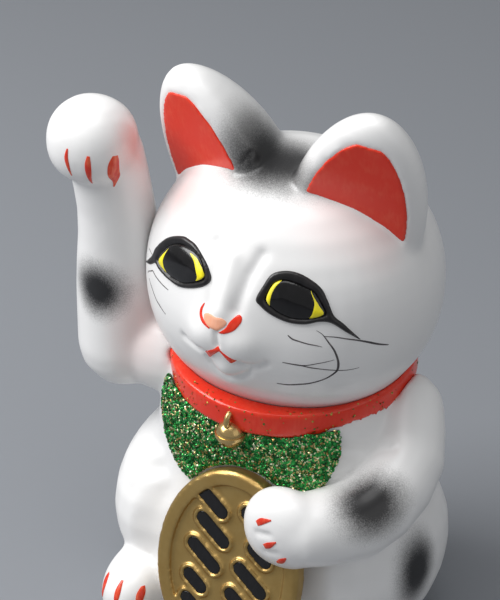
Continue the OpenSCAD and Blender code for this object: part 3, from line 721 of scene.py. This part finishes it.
clawSets = {
    "raised_paw_claws": [
        ([(-58.6, 162.7), (-59.0, 159.7), (-58.7, 157.0), (-58.2, 153.1)], [0.5, 1.3, 1.2, 0.3]),
        ([(-51.8, 161.5), (-52.0, 158.8), (-52.2, 155.4), (-52.8, 150.7)], [0.8, 1.7, 1.6, 0.3]),
        ([(-45.9, 160.9), (-46.3, 158.3), (-47.1, 154.0), (-48.7, 148.2)], [0.8, 1.7, 1.7, 0.3])],
    "lowered_paw_claws": [
        ([(18.3, 61.1), (20.1, 62.6), (23.2, 64.0)], [1.6, 2.0, 0.4]),
        ([(21.5, 54.2), (23.3, 55.4), (25.7, 57.4)], [1.6, 2.0, 0.4]),
        ([(25.5, 48.9), (27.2, 50.3), (28.9, 52.1)], [0.8, 1.9, 0.4])],
    "right_foot_claws": footClaws(-footSide),
    "left_foot_claws": footClaws(footSide),
}
for name, claws in clawSets.items():
    for i, (points, widths) in enumerate(claws):
        mark = paint(name + "_paint_%d" % (i + 1), foot, stroke(points, widths), bodySurface,
                     flatPaint(0.3, 0.6), 0.45)
        handOver(mark, clawEnamel, "red_enamel", *([name] if i == 0 else []))
print("claws painted")


# ear linings
liningSkin = {"voxel": 0.45, "rounds": 6}
for side in ("right", "left"):
    lining = copyOf(side + "_ear_enamel", side + "_ear_lining")
    smoothSkin(lining, **liningSkin)
    handOver(lining, redEnamel, "red_enamel", side + "_ear_lining")
print("ears lined")


# collar and bib with their glitter
clothSkin = {"voxel": 0.6, "rounds": 8}
collar = copyOf("red_collar", "collar")
smoothSkin(collar, **clothSkin)
handOver(collar, redEnamel, "red_enamel", "collar")
bib = copyOf("glitter_bib", "bib")
smoothSkin(bib, **clothSkin)
handOver(bib, glitterBedMaterial(), "green_glitter", "bib")

# counts, and the flakes' radius in mm from smallest to largest
glitter = {
    "green_flakes": {"count": 5200, "size": (0.30, 0.55), "main": "#3aa552", "other": "#1d6a30"},
    "gold_flakes": {"count": 1500, "size": (0.28, 0.52), "main": "#e0cc94", "other": "#a98a4e"},
    "pale_flakes": {"count": 600, "size": (0.28, 0.55), "main": "#fff8d8", "other": "#dfe8c0"},
    "collar_flakes": {"count": 260, "size": (0.22, 0.42), "main": "#b5a04f", "other": "#4f6b34"},
}


# corners, spread of the tilt, and lift and half thickness as shares of the radius
flake = {"corners": 5, "tilt": 0.45, "lift": (0.1, 0.5), "half": 0.3}


def scatterFlakes(name, s, onto, keep):
    onto.data.calc_loop_triangles()
    corners = [v.co.copy() for v in onto.data.vertices]
    triangles = [t for t in onto.data.loop_triangles if keep(t)]
    sums = np.cumsum([t.area for t in triangles])
    shape = bmesh.new()
    for _ in range(s["count"]):
        t = triangles[int(np.searchsorted(sums, random.random() * sums[-1]))]
        a, b, c = (corners[i] for i in t.vertices)
        u, v = random.random(), random.random()
        if u + v > 1:
            u, v = 1 - u, 1 - v
        spot = a + (b - a) * u + (c - a) * v
        lean = (t.normal + Vector([random.gauss(0, flake["tilt"]) for _ in range(3)])).normalized()
        across = lean.orthogonal().normalized()
        across.rotate(Matrix.Rotation(random.random() * math.tau, 3, lean))
        along = lean.cross(across)
        r = random.uniform(*s["size"]) * mm
        spot = spot + t.normal * r * random.uniform(*flake["lift"])
        ring = []
        for k in range(flake["corners"]):
            turn = math.tau * k / flake["corners"]
            ring.append(shape.verts.new(spot + (across * math.cos(turn) + along * math.sin(turn)) * r))
        tip, heel = (shape.verts.new(spot + lean * r * h) for h in (flake["half"], -flake["half"]))
        for k in range(flake["corners"]):
            shape.faces.new((ring[k], ring[(k + 1) % flake["corners"]], tip))
            shape.faces.new((ring[(k + 1) % flake["corners"]], ring[k], heel))
    mesh = bpy.data.meshes.new(name)
    shape.to_mesh(mesh)
    shape.free()
    obj = bpy.data.objects.new(name, mesh)
    bpy.context.scene.collection.objects.link(obj)
    handOver(obj, flakeMaterial(name.replace("_", " ") + ", cut foil", s["main"], s["other"]),
             "green_glitter")


def facesOut(t):
    away = Vector((t.center.x - foot.x, t.center.y - foot.y, 0)).normalized()
    return t.normal.dot(away) > 0.1


for name, s in glitter.items():
    scatterFlakes(name, s, collar if name == "collar_flakes" else bib, facesOut)
print("glitter laid")


# bell
for name in ("bell_loop", "bell"):
    wear(nodes[name], bellGold)

# coin
coinSkin = {"voxel": 0.5, "rounds": 5}
coinBlackSkin = {"voxel": 0.4, "rounds": 3}
coin = copyOf("gold_coin", "koban")
smoothSkin(coin, **coinSkin)
handOver(coin, coinGold, "gold_paint", "koban")
coinBlack = copyOf("coin_black", "koban_enamel")
smoothSkin(coinBlack, **coinBlackSkin)
handOver(coinBlack, blackEnamel, "black_enamel", "koban_enamel")

# under the foot
wear(nodes["base_slab"], clayMaterial())
wear(nodes["rubber_stopper"], rubberMaterial())
print("coin and foot dressed")


# studio
studio = {
    "backdrop": "#86898e",
    "world": 0.34,
    "floorSize": 8,         # metres
    # name: place round the cat in degrees and mm, size in mm, power in watts
    "lamps": {
        "key": (-58, 42, 900, 620, 9.6),
        "fill": (75, 25, 1200, 900, 1.2),
        "top": (0, 78, 1000, 700, 2.8),
    },
}


def makeStudio(s):
    bpy.ops.object.select_all(action="DESELECT")
    bpy.ops.mesh.primitive_plane_add(size=s["floorSize"], location=(0, 0, 0))
    floor = bpy.context.view_layer.objects.active
    floor.name = "floor"
    material, _, shader, _ = newMaterial("matt grey studio paper")
    shader.inputs["Base Color"].default_value = hexColour(s["backdrop"])
    shader.inputs["Roughness"].default_value = 0.9
    shader.inputs["Specular IOR Level"].default_value = 0.1
    wear(floor, material)
    world = bpy.data.worlds.new("soft studio light")
    bpy.context.scene.world = world
    world.use_nodes = True
    world.node_tree.nodes["Background"].inputs["Color"].default_value = (0.96, 0.98, 1.0, 1)
    world.node_tree.nodes["Background"].inputs["Strength"].default_value = s["world"]
    for name, (az, el, far, size, power) in s["lamps"].items():
        light = bpy.data.lights.new(name, "AREA")
        light.shape = "DISK" if name == "top" else "SQUARE"
        light.size = size * mm
        light.energy = power
        lamp = bpy.data.objects.new(name, light)
        bpy.context.scene.collection.objects.link(lamp)
        a, e = math.radians(az), math.radians(el)
        aim = Vector((math.sin(a) * math.cos(e), -math.cos(a) * math.cos(e), math.sin(e)))
        lamp.location = head + aim * far * mm
        lamp.rotation_euler = aim.to_track_quat("Z", "Y").to_euler()


makeStudio(studio)
bpy.context.scene.view_settings.view_transform = "Standard"
print("studio lit")
